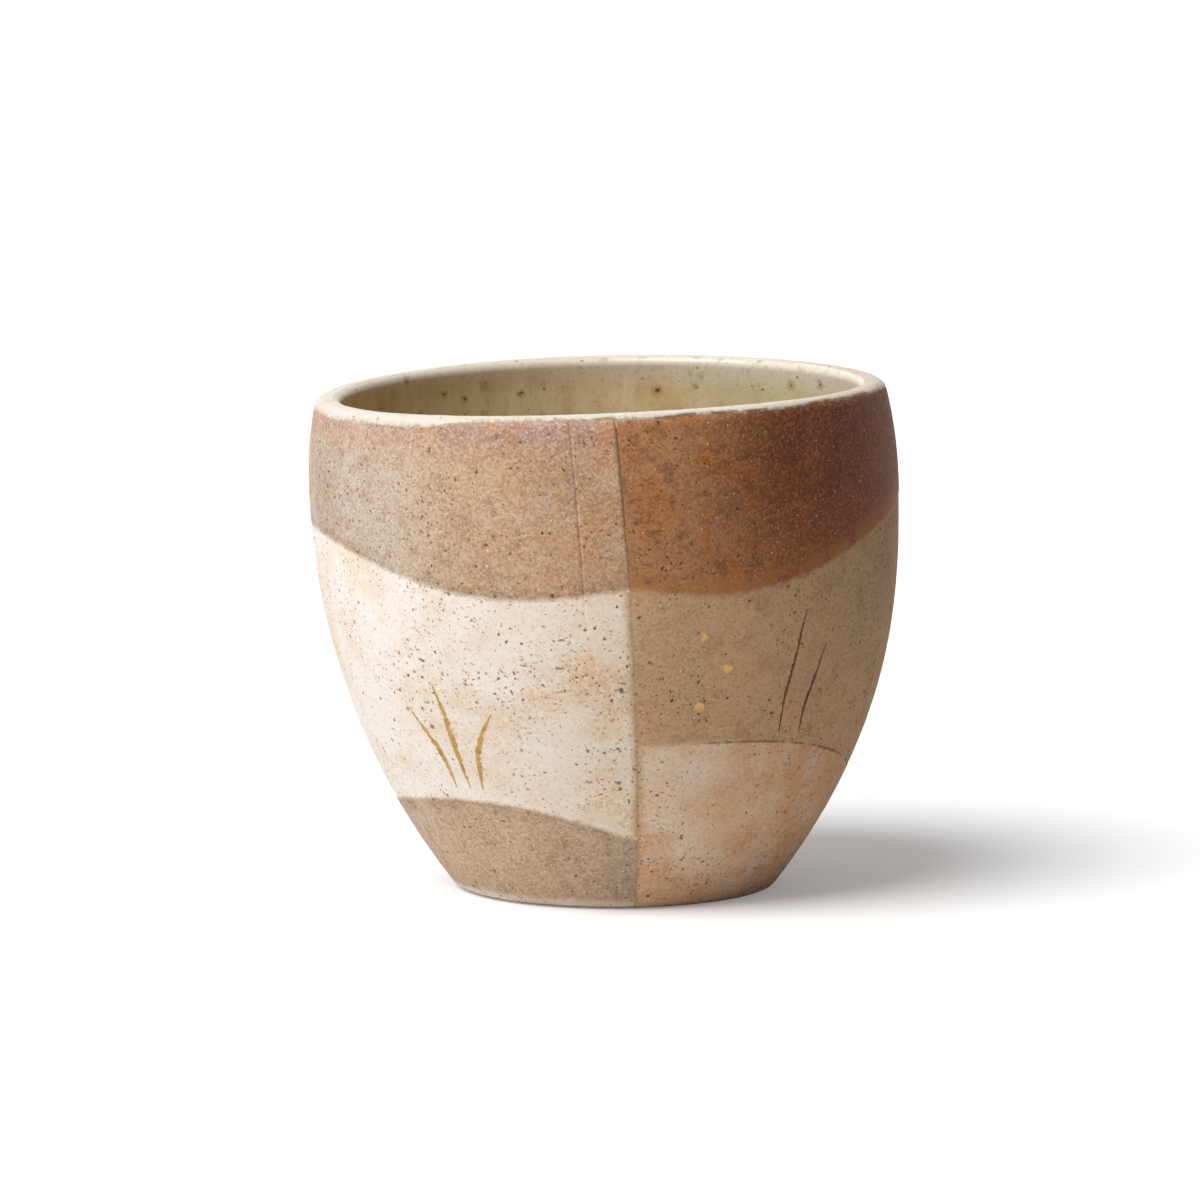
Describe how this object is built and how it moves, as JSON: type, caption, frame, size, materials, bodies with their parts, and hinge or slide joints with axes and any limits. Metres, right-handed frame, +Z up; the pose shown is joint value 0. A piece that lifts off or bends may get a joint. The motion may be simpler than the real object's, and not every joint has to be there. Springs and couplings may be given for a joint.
{
  "type": "tea cup",
  "caption": "Slab-built stoneware tea cup without a handle, swelling from a small foot to a wide belly, with a lap seam, dipped slips outside and a glazed bowl.",
  "frame": {"origin": "middle of the foot, on the surface that the cup stands on", "axes": "+Z up out of the bowl, -Y towards the front with the lap seam, +X to the right of a viewer facing the front"},
  "size_m": [0.0902, 0.0895, 0.0775],
  "materials": {
    "stoneware": "matt sandy tan stoneware",
    "slurry": "matt fired slurry",
    "olive_glaze": "satin olive glaze with iron spots",
    "pale_glaze": "satin pale glaze",
    "cream_slip": "matt cream slip with rust specks",
    "brown_slip": "matt sandy grey-brown slip",
    "rust_slip": "satin mottled iron-red slip",
    "peach_slip": "matt peach slip with rust specks",
    "iron_oxide": "matt dark iron brushwork",
    "gold_lustre": "dull worn gold lustre"
  },
  "bodies": {
    "root": {"wall_slab": "stoneware", "seam_slurry": "slurry", "base_disc": "stoneware", "base_slurry": "slurry", "base_coil": "stoneware", "inner_glaze": "olive_glaze", "lip_glaze": "pale_glaze", "cream_slip": "cream_slip", "brown_rim_slip": "brown_slip", "brown_foot_slip": "brown_slip", "rust_rim_slip": "rust_slip", "peach_foot_slip": "peach_slip", "gold_blade_left": "gold_lustre", "gold_blade_middle": "gold_lustre", "gold_blade_right": "gold_lustre", "iron_reed_tall": "iron_oxide", "iron_reed_short": "iron_oxide", "gold_dot_low": "gold_lustre", "gold_dot_middle": "gold_lustre", "gold_dot_high": "gold_lustre"}
  },
  "joints": []
}
